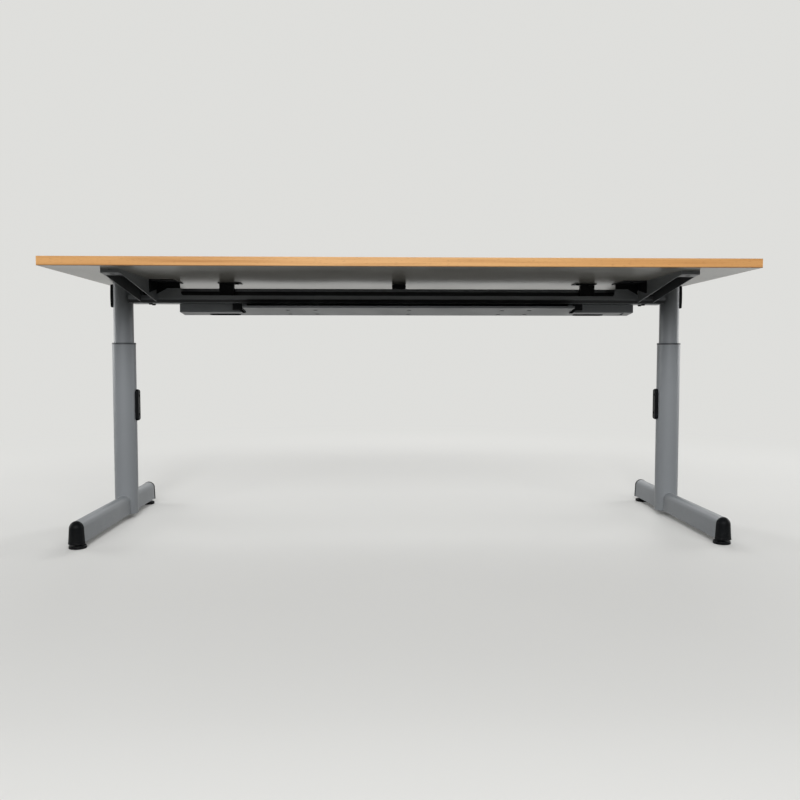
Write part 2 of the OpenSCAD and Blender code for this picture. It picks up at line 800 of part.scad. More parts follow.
// Arch-shaped foot section, grown by g
module foot_section(g) {
    base = foot_w / 2 + g;
    top_r = foot_top_r + g;
    spring = foot_low + foot_h - foot_top_r;
    polygon([[-base, foot_low - g], [base, foot_low - g], [top_r, spring], [-top_r, spring]]);
    translate([0, spring]) circle(r = top_r, $fn = 96);
}

// Lower tube of the column, standing astride the foot
module outer_tube(side) {
    color(silver) on_side(side) difference() {
        ring(outer_low, outer_top, outer_ir, outer_r);
        translate([col_x, 0, 0]) along_y(col_y - outer_d, col_y + outer_d)
            foot_section(weld_gap);
        for (s = [-1, 1])
            rod_x(col_x - outer_r - cut, col_x, col_y, clamp_z + s * clamp_pitch / 2,
                clamp_screw_d / 2 + 0.3);
    }
}

module upper_bush(side) {
    color(nylon) on_side(side) {
        ring(outer_top - bush_len, outer_top, inner_r + slide_gap, outer_ir - fit_gap);
        ring(outer_top, outer_top + collar_t, inner_r + slide_gap, outer_r + collar_proud);
    }
}

// Foot profile, with a hole under each glide
module foot(side) {
    color(silver) on_side(side) translate([col_x, 0, 0]) difference() {
        along_y(foot_y0, foot_y1) foot_section(0);
        along_y(foot_y0 - cut, foot_y1 + cut) foot_section(-foot_wall);
        for (y = [glide_y0, glide_y1])
            rod_z(0, y, foot_low - cut, foot_low + foot_wall + cut, nut_r + 0.5);
    }
}

// Bore for the glide's nut and stem in a cap's spigot
module nut_bore(y) {
    rod_z(0, y, foot_low, foot_low + foot_wall + nut_len, nut_r + fit_gap);
    rod_z(0, y, foot_low, stem_top + 8, stem_d / 2 + 0.5);
}

// Domed front cap: half of a turned bullet shape, and its spigot
module front_cap(side) {
    base_r = foot_w / 2 + cap_proud + 0.5;
    shoulder_r = foot_top_r + cap_proud;
    spring = foot_low + foot_h - foot_top_r;
    low = foot_low - 2;
    flare_h = 5;
    color(black) on_side(side) translate([col_x, 0, 0]) difference() {
        union() {
            intersection() {
                translate([0, foot_y0, 0]) rotate_extrude($fn = 96) union() {
                    polygon([[0, low], [base_r, low], [base_r, low + flare_h - 2],
                        [foot_w / 2 + cap_proud, low + flare_h], [shoulder_r, spring],
                        [0, spring]]);
                    intersection() {
                        translate([0, spring]) circle(r = shoulder_r, $fn = 96);
                        translate([0, spring - cut])
                            square([shoulder_r + cut, shoulder_r + 2 * cut]);
                    }
                }
                block([-foot_w, foot_y0 - foot_w, 0], [foot_w, foot_y0, foot_low + 2 * foot_h]);
            }
            along_y(foot_y0 - cut, foot_y0 + spigot_len)
                foot_section(-foot_wall - 2 * fit_gap);
        }
        nut_bore(glide_y0);
    }
}

module rear_cap(side) {
    color(black) on_side(side) translate([col_x, 0, 0]) {
        along_y(foot_y1, foot_y1 + rear_cap_t) foot_section(rear_cap_proud);
        difference() {
            along_y(foot_y1 - spigot_len, foot_y1 + cut) foot_section(-foot_wall - 2 * fit_gap);
            nut_bore(glide_y1);
        }
    }
}

// Outline of the clamp pieces as seen along X
module clamp_outline(inset) {
    oblong(col_y, clamp_z, clamp_cover_w - 2 * inset, clamp_cover_h - 2 * inset);
}

module clamp_cover(side) {
    x0 = col_x - outer_r - clamp_cover_out;
    color(black) on_side(side) difference() {
        intersection() {
            along_x(x0, col_x - outer_r / 2) clamp_outline(0);
            along_y(col_y - clamp_cover_w, col_y + clamp_cover_w)
                soft_rect([x0, clamp_z - clamp_cover_h / 2], [col_x, clamp_z + clamp_cover_h / 2], 6);
        }
        rod_z(col_x, col_y, clamp_z - clamp_cover_h, clamp_z + clamp_cover_h,
            outer_r + fit_gap);
        along_x(x0 + 3, col_x) clamp_outline(clamp_cover_wall - weld_gap);
        for (s = [-1, 1])
            rod_x(x0 - cut, col_x, col_y, clamp_z + s * clamp_pitch / 2, clamp_screw_d / 2 + 0.5);
    }
}

// Threaded pad welded to the tube under the cover
module clamp_pad(side) {
    color(steel) on_side(side) difference() {
        along_x(col_x - outer_r - clamp_cover_out + 3.2, col_x - outer_r / 2)
            clamp_outline(clamp_cover_wall);
        rod_z(col_x, col_y, clamp_z - clamp_cover_h, clamp_z + clamp_cover_h,
            outer_r + fit_gap);
        for (s = [-1, 1])
            rod_x(col_x - outer_d, col_x, col_y, clamp_z + s * clamp_pitch / 2,
                clamp_screw_d / 2 + fit_gap);
    }
}

// Socket set screws that press the shoe on the upper tube
module clamp_screws(side) {
    x0 = col_x - outer_r - clamp_cover_out + 4;
    color(steel) on_side(side) for (s = [-1, 1]) difference() {
        rod_x(x0, col_x - outer_ir, col_y, clamp_z + s * clamp_pitch / 2, clamp_screw_d / 2);
        translate([x0 - cut, col_y, clamp_z + s * clamp_pitch / 2]) rotate([0, 90, 0])
            cylinder(h = 4 + cut, r = clamp_screw_d * 0.29, $fn = 6);
    }
}

// Curved shoe between the two tubes
module clamp_shoe(side) {
    half_h = clamp_pitch / 2 + 5;
    half_w = 10;
    color(nylon) on_side(side) intersection() {
        ring(clamp_z - half_h, clamp_z + half_h, inner_r + slide_gap, outer_ir - fit_gap);
        block([col_x - outer_r, col_y - half_w, clamp_z - clamp_cover_h],
            [col_x - inner_r / 2, col_y + half_w, clamp_z + clamp_cover_h]);
    }
}

module glide_nuts(side) {
    color(steel) on_side(side) for (y = [glide_y0, glide_y1]) difference() {
        rod_z(col_x, y, foot_low, foot_low + foot_wall + nut_len, nut_r);
        rod_z(col_x, y, foot_low - cut, foot_low + foot_wall + nut_len + cut,
            stem_d / 2 + weld_gap);
    }
}

// Glide disc with rounded rim and hub
module glide_disc(side, y) {
    rim = 2.5;
    r = glide_d / 2;
    color(black) on_side(side) translate([col_x, y, 0]) difference() {
        rotate_extrude($fn = 96) {
            polygon([[0, 0], [r - 1, 0], [r, 1], [r, glide_h - rim], [r - rim, glide_h - rim],
                [r - rim, glide_h], [hub_r, glide_h], [hub_r, glide_h + hub_h], [0, glide_h + hub_h]]);
            translate([r - rim, glide_h - rim]) circle(r = rim, $fn = 48);
        }
        rod_z(0, 0, glide_h / 2, glide_h + hub_h + cut, stem_d / 2 + fit_gap);
    }
}

module glide_stem(side, y) {
    color(steel) on_side(side)
        rod_z(col_x, y, glide_h / 2, stem_top, stem_d / 2);
}

top_laminate();
board_core();
backing_laminate();
long_band();  // edge_band_front
mirror([0, 1, 0]) long_band();  // edge_band_rear
mirror([1, 0, 0]) short_band();  // edge_band_left
short_band();  // edge_band_right
crossbeam();
centre_spacer();
beam_bracket(-1);  // beam_bracket_left
beam_bracket(1);  // beam_bracket_right
arm(-1);  // arm_left
arm(1);  // arm_right
arm_posts();
arm_bolts();
board_screws();
inner_tube(-1);  // inner_tube_left
inner_tube(1);  // inner_tube_right
tube_plugs();
tube_cover(-1);  // tube_cover_left
tube_cover(1);  // tube_cover_right
saddle(-1);  // saddle_left
saddle(1);  // saddle_right
saddle_bolts();
lower_bush(-1);  // lower_bush_left
lower_bush(1);  // lower_bush_right
cable_tray();
tray_hanger(-1);  // tray_hanger_left
tray_hanger(1);  // tray_hanger_right
tray_hinge_pins();
tray_catch(-1);  // tray_catch_left
tray_catch(1);  // tray_catch_right
outer_tube(-1);  // outer_tube_left
outer_tube(1);  // outer_tube_right
upper_bush(-1);  // upper_bush_left
upper_bush(1);  // upper_bush_right
foot(-1);  // foot_left
foot(1);  // foot_right
front_cap(-1);  // front_cap_left
front_cap(1);  // front_cap_right
rear_cap(-1);  // rear_cap_left
rear_cap(1);  // rear_cap_right
clamp_cover(-1);  // clamp_cover_left
clamp_cover(1);  // clamp_cover_right
clamp_pad(-1);  // clamp_pad_left
clamp_pad(1);  // clamp_pad_right
clamp_screws(-1);  // clamp_screws_left
clamp_screws(1);  // clamp_screws_right
clamp_shoe(-1);  // clamp_shoe_left
clamp_shoe(1);  // clamp_shoe_right
glide_nuts(-1);  // glide_nuts_left
glide_nuts(1);  // glide_nuts_right
glide_disc(-1, glide_y0);  // glide_disc_front_left
glide_disc(1, glide_y0);  // glide_disc_front_right
glide_disc(-1, glide_y1);  // glide_disc_rear_left
glide_disc(1, glide_y1);  // glide_disc_rear_right
glide_stem(-1, glide_y0);  // glide_stem_front_left
glide_stem(1, glide_y0);  // glide_stem_front_right
glide_stem(-1, glide_y1);  // glide_stem_rear_left
glide_stem(1, glide_y1);  // glide_stem_rear_right
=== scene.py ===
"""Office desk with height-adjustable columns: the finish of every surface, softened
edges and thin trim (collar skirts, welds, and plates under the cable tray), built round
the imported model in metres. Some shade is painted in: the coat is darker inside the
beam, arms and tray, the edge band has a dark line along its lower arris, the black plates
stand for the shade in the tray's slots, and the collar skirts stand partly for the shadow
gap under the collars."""
import json
import math

import bmesh
import bpy
from mathutils import Matrix, Vector


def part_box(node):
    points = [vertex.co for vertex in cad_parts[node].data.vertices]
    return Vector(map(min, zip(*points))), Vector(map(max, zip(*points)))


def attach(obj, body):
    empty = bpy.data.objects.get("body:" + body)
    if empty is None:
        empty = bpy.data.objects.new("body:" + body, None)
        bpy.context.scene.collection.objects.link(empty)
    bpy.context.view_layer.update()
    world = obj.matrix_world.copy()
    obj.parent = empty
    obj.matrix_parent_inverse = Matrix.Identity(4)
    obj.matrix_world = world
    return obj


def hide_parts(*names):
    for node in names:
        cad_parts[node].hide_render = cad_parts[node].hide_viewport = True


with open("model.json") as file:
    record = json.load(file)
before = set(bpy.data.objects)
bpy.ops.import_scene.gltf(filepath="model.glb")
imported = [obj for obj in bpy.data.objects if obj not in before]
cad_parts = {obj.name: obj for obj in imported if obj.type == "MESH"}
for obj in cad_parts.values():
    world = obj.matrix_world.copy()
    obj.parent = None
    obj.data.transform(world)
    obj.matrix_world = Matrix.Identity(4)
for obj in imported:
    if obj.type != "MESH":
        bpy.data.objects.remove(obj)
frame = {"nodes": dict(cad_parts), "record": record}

bl_info = {
    "name": "Office desk",
    "version": (1, 0, 0),
    "blender": (4, 5, 0),
    "location": "View3D > Sidebar > Desk",
    "description": "Builds the finished office desk round its packed frame",
    "category": "Add Mesh",
}

MM = 0.001
SIDES = ("left", "right")
ENDS = ("front", "rear")
# Radius of the arch on top of a foot
FOOT_ARCH = 18 * MM
# Slope of the cable tray's floor, which falls to the rear
TRAY_FALL = math.radians(5.6)
# Points nearer than this are one
MERGE = 0.002 * MM
RING_STEPS = 96
SENSOR_MM = 36
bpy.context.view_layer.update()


def middle(node):
    """Centre of a node's box at rest."""
    low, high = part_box(node)
    return (low + high) / 2


# Properties

class DeskFinish(bpy.types.PropertyGroup):
    """Colours of the desk's finishes, as linear values."""
    beech: bpy.props.FloatVectorProperty(
        name="Beech", description="Main colour of the beech decor", subtype="COLOR",
        size=3, min=0, max=1, default=(0.645, 0.320, 0.104))
    beech_light: bpy.props.FloatVectorProperty(
        name="Light beech", description="Colour of the light streaks", subtype="COLOR",
        size=3, min=0, max=1, default=(0.780, 0.435, 0.168))
    beech_dark: bpy.props.FloatVectorProperty(
        name="Dark beech", description="Colour of the dark streaks and flecks", subtype="COLOR",
        size=3, min=0, max=1, default=(0.440, 0.185, 0.048))
    silver: bpy.props.FloatVectorProperty(
        name="Silver coat", description="Powder coat of the frame", subtype="COLOR",
        size=3, min=0, max=1, default=(0.250, 0.265, 0.280))
    backing: bpy.props.FloatVectorProperty(
        name="Backing", description="Laminate under the worktop", subtype="COLOR",
        size=3, min=0, max=1, default=(0.56, 0.545, 0.50))
    plastic: bpy.props.FloatVectorProperty(
        name="Black plastic", description="Caps, covers and glides", subtype="COLOR",
        size=3, min=0, max=1, default=(0.0020, 0.0024, 0.0030))
    black_coat: bpy.props.FloatVectorProperty(
        name="Black coat", description="Powder coat of the brackets", subtype="COLOR",
        size=3, min=0, max=1, default=(0.0050, 0.0052, 0.0056))
    zinc: bpy.props.FloatVectorProperty(
        name="Zinc", description="Plating of screws, bolts and nuts", subtype="COLOR",
        size=3, min=0, max=1, default=(0.60, 0.61, 0.60))


class DeskEdges(bpy.types.PropertyGroup):
    """How far the edges are softened."""
    sheet: bpy.props.FloatProperty(
        name="Sheet edges", description="Bevel on the folds and edges of sheet steel",
        unit="LENGTH", min=0.0001, max=0.001, default=0.5 * MM)
    moulded: bpy.props.FloatProperty(
        name="Moulded edges", description="Bevel on plastic pieces",
        unit="LENGTH", min=0.0001, max=0.002, default=0.8 * MM)
    small: bpy.props.FloatProperty(
        name="Small edges", description="Bevel on small turned pieces",
        unit="LENGTH", min=0.0001, max=0.001, default=0.35 * MM)
    # The skirt is partly the bush's collar reaching down, and partly a dark ring that stands
    # for the shadow gap under it, as painted shade
    skirt: bpy.props.FloatProperty(
        name="Collar skirt", description="How far the collar of the upper bush reaches down",
        unit="LENGTH", min=0.0005, max=0.006, default=2.2 * MM)
    weld: bpy.props.FloatProperty(
        name="Welds", description="Half the width of a painted weld",
        unit="LENGTH", min=0.0005, max=0.003, default=1.7 * MM)


class DeskStage(bpy.types.PropertyGroup):
    """Camera, lamps and floor."""
    camera_place: bpy.props.FloatVectorProperty(
        name="Camera place", description="Where the camera stands", subtype="TRANSLATION",
        unit="LENGTH", size=3, default=(-0.0712, -2.3537, 0.4815))
    camera_turn: bpy.props.FloatProperty(
        name="Camera turn", description="Turn of the view to the right",
        subtype="ANGLE", default=0.0307)
    camera_tilt: bpy.props.FloatProperty(
        name="Camera tilt", description="Tilt of the view below the horizon",
        subtype="ANGLE", default=0.0528)
    lens: bpy.props.FloatProperty(
        name="Lens", description="Focal length in millimetres on a 36 mm sensor",
        min=10, max=200, default=35.28)
    key_power: bpy.props.FloatProperty(
        name="Key lamp", description="Power of the wide lamp in front", unit="POWER",
        min=0, default=175)
    strip_power: bpy.props.FloatProperty(
        name="Strip lamp", description="Power of the narrow lamp in front", unit="POWER",
        min=0, default=86)
    rear_power: bpy.props.FloatProperty(
        name="Rear lamp", description="Power of the lamp behind", unit="POWER",
        min=0, default=105)
    side_power: bpy.props.FloatProperty(
        name="Side lamps", description="Power of each of the two lamps beside the desk",
        unit="POWER", min=0, default=45)
    sky: bpy.props.FloatProperty(
        name="Sky", description="Strength of the even light from all round",
        min=0, max=2, default=0.125)
    backdrop: bpy.props.FloatVectorProperty(
        name="Backdrop", description="Colour of the plain background", subtype="COLOR",
        size=3, min=0, max=1, default=(0.735, 0.735, 0.715))
    floor_colour: bpy.props.FloatVectorProperty(
        name="Floor", description="Colour of the plain floor as it is seen", subtype="COLOR",
        size=3, min=0, max=1, default=(0.82, 0.82, 0.80))
    floor_bounce: bpy.props.FloatVectorProperty(
        name="Floor bounce", description="Colour of the light that the floor throws back",
        subtype="COLOR", size=3, min=0, max=1, default=(0.095, 0.093, 0.087))
    floor_near: bpy.props.FloatProperty(
        name="Fade start", description="Where the floor starts to turn into the background",
        unit="LENGTH", min=0, default=1.0)
    floor_far: bpy.props.FloatProperty(
        name="Fade end", description="Where the floor has become the background",
        unit="LENGTH", min=0, default=3.2)


# Materials

class Finish:
    """A procedural material on Object coordinates, put together node by node.
    Noise and cells have their scale in features a metre. A ramp has the two values
    between which it rises, and then the two shares from 0 to 1 that it gives there."""

    def __init__(self, name, colour, roughness, metallic=0.0, specular=0.5):
        self.material = bpy.data.materials.new(name)
        self.material.use_nodes = True
        self.tree = self.material.node_tree
        self.shader = self.tree.nodes["Principled BSDF"]
        self.shader.inputs["Base Color"].default_value = (*colour, 1)
        self.shader.inputs["Roughness"].default_value = roughness
        self.shader.inputs["Metallic"].default_value = metallic
        self.shader.inputs["Specular IOR Level"].default_value = specular
        self.place = self.tree.nodes.new("ShaderNodeTexCoord").outputs["Object"]

    def node(self, kind, **settings):
        made = self.tree.nodes.new(kind)
        for key, value in settings.items():
            setattr(made, key, value)
        return made

    def feed(self, socket, value):
        """Links an output to a socket, or sets the socket to a plain value."""
        if isinstance(value, bpy.types.NodeSocket):
            self.tree.links.new(value, socket)
        else:
            socket.default_value = value

    def stretched(self, scale):
        """Object coordinates times one scale for each axis."""
        mapping = self.node("ShaderNodeMapping")
        self.feed(mapping.inputs["Vector"], self.place)
        mapping.inputs["Scale"].default_value = scale
        return mapping.outputs["Vector"]

    def noise(self, scale, detail=2.0, vector=None, distortion=0.0):
        """Soft noise from 0 to 1."""
        made = self.node("ShaderNodeTexNoise")
        self.feed(made.inputs["Vector"], vector or self.place)
        made.inputs["Scale"].default_value = scale
        made.inputs["Detail"].default_value = detail
        made.inputs["Distortion"].default_value = distortion
        return made.outputs["Fac"]

    def cells(self, scale, vector=None):
        """One random grey for each small cell."""
        made = self.node("ShaderNodeTexVoronoi")
        self.feed(made.inputs["Vector"], vector or self.place)
        made.inputs["Scale"].default_value = scale
        grey = self.node("ShaderNodeRGBToBW")
        self.feed(grey.inputs["Color"], made.outputs["Color"])
        return grey.outputs["Val"]

    def ramp(self, value, low, high, to_low=0.0, to_high=1.0):
        """Stretches value from low..high to to_low..to_high, held at the ends."""
        made = self.node("ShaderNodeMapRange")
        self.feed(made.inputs["Value"], value)
        made.inputs["From Min"].default_value = low
        made.inputs["From Max"].default_value = high
        made.inputs["To Min"].default_value = to_low
        made.inputs["To Max"].default_value = to_high
        return made.outputs["Result"]

    def maths(self, operation, a, b=0.0):
        made = self.node("ShaderNodeMath", operation=operation)
        self.feed(made.inputs[0], a)
        self.feed(made.inputs[1], b)
        return made.outputs["Value"]

    def mixed(self, share, a, b):
        """Colour a, turning into colour b as share goes to 1."""
        made = self.node("ShaderNodeMix", data_type="RGBA")
        self.feed(made.inputs["Factor"], share)
        self.feed(made.inputs["A"], (*a, 1) if isinstance(a, tuple) else a)
        self.feed(made.inputs["B"], (*b, 1) if isinstance(b, tuple) else b)
        return made.outputs["Result"]

    def axes(self):
        """X, Y and Z of Object coordinates."""
        made = self.node("ShaderNodeSeparateXYZ")
        self.feed(made.inputs["Vector"], self.place)
        return [made.outputs[axis] for axis in "XYZ"]

    def height(self):
        """Z of Object coordinates, which is the height over the floor at rest."""
        return self.axes()[2]

    def near_floor(self, full, end, most):
        """The share most up to the height full, and nothing above the height end."""
        return self.ramp(self.height(), full, end, most, 0)

    def between(self, value, low, high, fade=0.3 * MM):
        """1 where value lies from low to high, 0 outside."""
        up = self.ramp(value, low - fade, low)
        down = self.ramp(value, high, high + fade, 1, 0)
        return self.maths("MULTIPLY", up, down)

    def inside(self, limits):
        """1 inside all limits, each a value with its low and high end."""
        share = 1.0
        for value, low, high in limits:
            share = self.maths("MULTIPLY", share, self.between(value, low, high))
        return share

    def bump(self, height, distance, strength, under=None):
        """A normal from a height in metres, on top of the normal under it."""
        made = self.node("ShaderNodeBump")
        made.inputs["Strength"].default_value = strength
        made.inputs["Distance"].default_value = distance
        self.feed(made.inputs["Height"], height)
        if under is not None:
            self.feed(made.inputs["Normal"], under)
        return made.outputs["Normal"]

    def colour(self, value):
        self.feed(self.shader.inputs["Base Color"], value)

    def rough(self, value):
        self.feed(self.shader.inputs["Roughness"], value)

    def normal(self, value):
        self.feed(self.shader.inputs["Normal"], value)


def shade(colour, share):
    """A colour made darker or lighter."""
    return tuple(min(1.0, c * share) for c in colour)


def beech_finish(name, finish, along_y=False):
    """Beech decor: long streaks, fine lines and the short flecks of beech."""
    made = Finish(name, finish.beech, 0.42, specular=0.28)

    def grain(along, across):
        """Coordinates drawn out along the grain, which runs in X, or in Y at the sides."""
        scale = (across, along, across) if along_y else (along, across, across)
        return made.stretched(scale)

    broad = made.noise(1.0, 3, grain(1.1, 16), distortion=0.7)
    streak = made.noise(1.0, 5, grain(1.6, 90), distortion=0.3)
    fine = made.noise(1.0, 3, grain(9, 900))
    fleck = made.noise(1.0, 1, grain(70, 1150))
    main = tuple(finish.beech)
    light = tuple(finish.beech_light)
    dark = tuple(finish.beech_dark)
    base = made.mixed(made.ramp(broad, 0.36, 0.62), main, light)
    base = made.mixed(made.ramp(streak, 0.46, 0.66, 0, 0.72), base, dark)
    base = made.mixed(made.ramp(fine, 0.40, 0.72, 0, 0.30), base, light)
    flecks = made.ramp(fleck, 0.63, 0.70, 0, 0.62)
    made.colour(made.mixed(flecks, base, shade(dark, 0.85)))
    made.rough(made.ramp(streak, 0.3, 0.7, 0.38, 0.50))
    pores = made.bump(flecks, 0.05 * MM, 0.35)
    made.normal(made.bump(fine, 0.04 * MM, 0.30, pores))
    return made


def beech_band_finish(name, finish, along_y=False):
    """The same decor on an edge band, with painted shade along its lower arris: a thin dark
    line.
    """
    made = beech_finish(name, finish, along_y)
    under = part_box("edge_band_front")[0].z
    # Painted shade: a dark line along the lower arris, which faces down and away from the light
    arris_shade_height, fade, strength = 1.2 * MM, 1.0 * MM, 0.85
    line = made.ramp(made.height(), under + arris_shade_height, under + arris_shade_height + fade, strength, 0)
    coloured = made.shader.inputs["Base Color"].links[0].from_socket
    made.colour(made.mixed(line, coloured, shade(finish.beech_dark, 0.45)))
    return made.material


def beam_shade_mask(made):
    """Where the crossbeam's inside is, below its rolled upper rim: the region that the silver
    coat darkens as painted shade.
    """
    low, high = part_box("crossbeam")
    x, y, z = made.axes()
    wall, rim, depth = 2 * MM, 9 * MM, 70 * MM
    return made.inside([(x, low.x, high.x), (y, low.y + wall, low.y + depth - wall),
                        (z, low.z + wall, high.z - rim)])


def arm_shade_mask(made):
    """Where the insides of the two arms are, behind their closed noses: the region that the
    silver coat darkens as painted shade.
    """
    low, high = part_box("arm_right")
    x, y, z = made.axes()
    wall, nose = 2.2 * MM, 40 * MM
    return made.inside([(made.maths("ABSOLUTE", x), low.x + wall, high.x - wall),
                        (y, low.y + nose, high.y - nose), (z, low.z - wall, high.z - wall)])


def tray_shade_mask(made):
    """Where the inside of the cable tray is, over its sloping floor: the region that the silver
    coat darkens a little as painted shade.
    """
    low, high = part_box("cable_tray")
    x, y, z = made.axes()
    wall, skin, far_up = 0.8 * MM, 0.4 * MM, 1
    ends_front, mid_reach = 38 * MM, 488.5 * MM
    fall = math.tan(TRAY_FALL)
    over = made.maths("ADD", z, made.maths("MULTIPLY", y, fall))
    floor = low.z + high.y * fall + skin
    middle_x = (low.x + high.x) / 2
    across = made.maths("ABSOLUTE", made.maths("SUBTRACT", x, middle_x))
    ends = made.inside([(across, 0, high.x - middle_x - wall),
                        (y, ends_front + wall, high.y - wall), (over, floor, far_up)])
    mid = made.inside([(across, 0, mid_reach - wall), (y, low.y + wall, high.y - wall),
                       (over, floor, far_up)])
    return made.maths("MAXIMUM", ends, mid)


def silver_finish(name, finish, painted_shade_region=None, depth=0.15):
    """Silver-grey powder coat: fine metal flecks, orange peel, faint smudges and dust.
    Inside the region that a given mask marks, the colour carries painted shade, depth times as
    light, and the coat is rougher there."""
    made = Finish(name, finish.silver, 0.36, metallic=0.04, specular=0.24)
    silver = tuple(finish.silver)
    grain = made.cells(2600)
    flecked = made.mixed(made.ramp(grain, 0.25, 0.95), shade(silver, 0.93),
                         shade(silver, 1.09))
    smudge = made.noise(9, 4, distortion=0.6)
    smudged = made.mixed(made.ramp(smudge, 0.45, 0.75, 0, 0.16), flecked, shade(silver, 0.80))
    # Shoe scuffs and dust close to the floor
    low = made.near_floor(10 * MM, 95 * MM, 0.5)
    scuff = made.noise(1.0, 4, made.stretched((60, 60, 420)), distortion=0.8)
    dirt = made.maths("MULTIPLY", low, made.ramp(scuff, 0.56, 0.72))
    coat = made.mixed(dirt, smudged, shade(silver, 0.62))
    rough = made.ramp(smudge, 0.3, 0.75, 0.32, 0.44)
    if painted_shade_region:
        # Painted shade: the coat is drawn darker inside the beam, the arms and the tray, where
        # shade falls
        share, rougher = painted_shade_region(made), 0.3
        coat = made.mixed(share, coat, shade(silver, depth))
        rough = made.maths("ADD", rough, made.maths("MULTIPLY", share, rougher))
    made.colour(coat)
    made.rough(rough)
    peel = made.bump(made.noise(780, 2), 0.05 * MM, 0.45)
    made.normal(made.bump(grain, 0.01 * MM, 0.35, peel))
    return made.material


def black_coat_finish(name, finish):
    """Black powder coat on the brackets, a little glossier on its high spots."""
    made = Finish(name, finish.black_coat, 0.4, specular=0.07)
    black = tuple(finish.black_coat)
    smudge = made.noise(24, 4)
    made.colour(made.mixed(made.ramp(smudge, 0.4, 0.75), black, shade(black, 1.9)))
    made.rough(made.ramp(smudge, 0.3, 0.7, 0.34, 0.50))
    made.normal(made.bump(made.noise(700, 2), 0.06 * MM, 0.6))
    return made.material


def plastic_finish(name, finish, specular=0.07):
    """Moulded black plastic: spark-eroded grain, and grey scuffs near the floor."""
    made = Finish(name, finish.plastic, 0.42, specular=specular)
    black, scuffed = tuple(finish.plastic), (0.085, 0.085, 0.080)
    cloud = made.noise(40, 3)
    base = made.mixed(made.ramp(cloud, 0.4, 0.7), black, shade(black, 1.7))
    low = made.near_floor(4 * MM, 60 * MM, 0.75)
    scuff = made.noise(1.0, 5, made.stretched((300, 300, 900)), distortion=1.1)
    worn = made.maths("MULTIPLY", low, made.ramp(scuff, 0.58, 0.70))
    made.colour(made.mixed(worn, base, scuffed))
    made.rough(made.maths("ADD", made.ramp(cloud, 0.3, 0.7, 0.38, 0.50),
                          made.maths("MULTIPLY", worn, 0.3)))
    made.normal(made.bump(made.noise(2100, 2), 0.03 * MM, 0.7))
    return made.material


def nylon_finish(name, colour):
    """Dark guide bushes, slightly waxy."""
    made = Finish(name, colour, 0.46)
    cloud = made.noise(55, 3)
    made.colour(made.mixed(made.ramp(cloud, 0.35, 0.7), colour, shade(colour, 1.35)))
    made.rough(made.ramp(cloud, 0.3, 0.7, 0.40, 0.52))
    made.normal(made.bump(made.noise(1500, 2), 0.02 * MM, 0.5))
    made.shader.inputs["Subsurface Weight"].default_value = 0.02
    return made.material


def backing_finish(name, finish):
    """Light grey backing laminate with a faint paper mottle."""
    made = Finish(name, finish.backing, 0.15, specular=0.22)
    grey = tuple(finish.backing)
    mottle = made.noise(420, 4)
    cloud = made.noise(5, 3, distortion=0.4)
    base = made.mixed(made.ramp(mottle, 0.35, 0.68), shade(grey, 0.94), shade(grey, 1.05))
    made.colour(made.mixed(made.ramp(cloud, 0.42, 0.70, 0, 0.12), base, shade(grey, 0.90)))
    made.rough(made.ramp(cloud, 0.3, 0.7, 0.20, 0.26))
    made.normal(made.bump(mottle, 0.02 * MM, 0.2))
    return made.material


def chipboard_finish(name, colour):
    """Pressed wood chips, seen only where a screw hole opens the board."""
    made = Finish(name, colour, 0.8)
    chip = made.cells(1.0, made.stretched((160, 160, 900)))
    made.colour(made.mixed(chip, shade(colour, 0.55), shade(colour, 1.25)))
    made.normal(made.bump(chip, 0.2 * MM, 0.6))
    return made.material


def zinc_finish(name, finish):
    """Bright zinc plating with a faint spangle and brushed lines."""
    made = Finish(name, finish.zinc, 0.32, metallic=1.0)
    zinc = tuple(finish.zinc)
    spangle = made.cells(420)
    made.colour(made.mixed(spangle, shade(zinc, 0.86), shade(zinc, 1.12)))
    made.rough(made.ramp(spangle, 0.2, 0.9, 0.26, 0.42))
    brushed = made.noise(1.0, 2, made.stretched((500, 500, 2600)))
    made.normal(made.bump(brushed, 0.015 * MM, 0.6))
    return made.material


CHIPBOARD = (0.42, 0.27, 0.13)
NYLON = (0.030, 0.034, 0.040)
FINISHES = {}


def finish_of(slot):
    """The material of one of the record's slots, or of a piece with a finish of its own,
    made when it is first asked for."""
    if slot not in FINISHES:
        finish = bpy.context.scene.desk_finish
        makers = {
            "worktop_decor": lambda: beech_finish("beech_top", finish).material,
            "edge_band": lambda: beech_band_finish("beech_band_long", finish),
            "edge_band_side": lambda: beech_band_finish("beech_band_side", finish, True),
            "chipboard": lambda: chipboard_finish("chipboard", CHIPBOARD),
            "backing_decor": lambda: backing_finish("grey_backing", finish),
            "silver_coat": lambda: silver_finish("silver_powder_coat", finish),
            # The beam, the arms and the tray carry painted shade on their insides
            "silver_beam": lambda: silver_finish("silver_coat_beam", finish, beam_shade_mask),
            "silver_arm": lambda: silver_finish("silver_coat_arm", finish, arm_shade_mask),
            "silver_tray": lambda: silver_finish("silver_coat_tray", finish, tray_shade_mask, 0.7),
            "black_steel": lambda: black_coat_finish("black_powder_coat", finish),
            "black_plastic": lambda: plastic_finish("black_moulded_plastic", finish),
            # Dull black for the plates that stand for the shade in the tray's slots, as painted
            # shadow
            "slot_shade_black": lambda: plastic_finish("black_dull_plastic", finish, 0.0),
            "zinc_steel": lambda: zinc_finish("zinc_plating", finish),
            "bush_nylon": lambda: nylon_finish("dark_nylon", NYLON),
        }
        FINISHES[slot] = makers[slot]()
    return FINISHES[slot]


# Pieces

NODE_SLOT = {row["node"]: row["material_slot"] for row in frame["record"]["subparts"]}
NODE_BODY = {node: body for body, nodes in frame["record"]["behaviour"]["bodies"].items()
             for node in nodes}
# An edge sharper than SHARP is bevelled, and faces that meet under FLAT are joined
SHARP = math.radians(28)
FLAT = math.radians(0.6)


